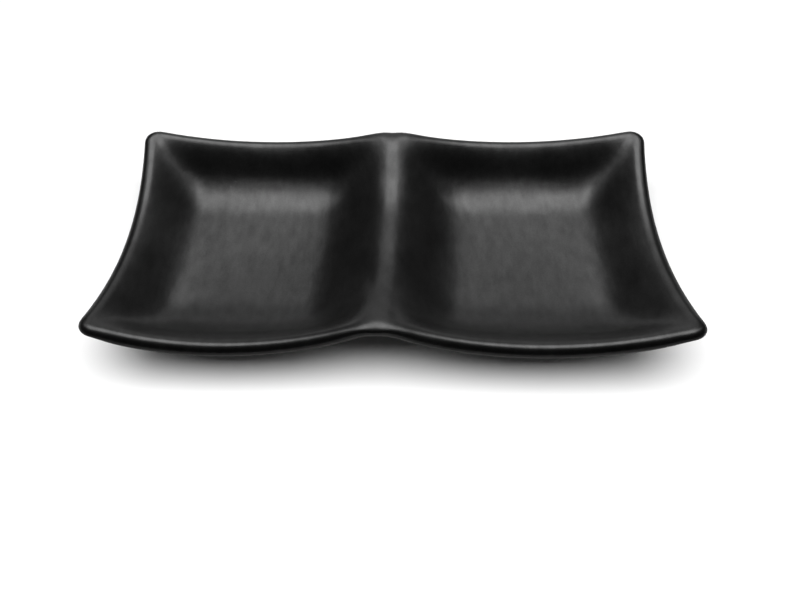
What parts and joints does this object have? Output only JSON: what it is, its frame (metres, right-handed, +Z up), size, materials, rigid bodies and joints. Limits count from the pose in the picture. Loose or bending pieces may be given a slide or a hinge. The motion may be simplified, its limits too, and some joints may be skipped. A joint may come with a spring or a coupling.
{
  "type": "double ramekin",
  "caption": "Shallow black ceramic dish with side-by-side square wells parted by a soft ridge, swept-up corners and low foot rings, for sauces, dips or small bites.",
  "frame": {"origin": "middle of the plane the dish stands on, below the middle of the divider", "axes": "+X along the dish from the left well to the right well, +Y towards the back edge, +Z up"},
  "size_m": [0.1536, 0.0862, 0.0217],
  "materials": {
    "fired_clay": "unglazed fired stoneware, dry and matte",
    "black_glaze": "semi-matte black glaze with a fine grain"
  },
  "bodies": {
    "root": {"clay_body": "fired_clay", "glaze_coat": "black_glaze", "left_base_glaze": "black_glaze", "right_base_glaze": "black_glaze"}
  },
  "joints": []
}
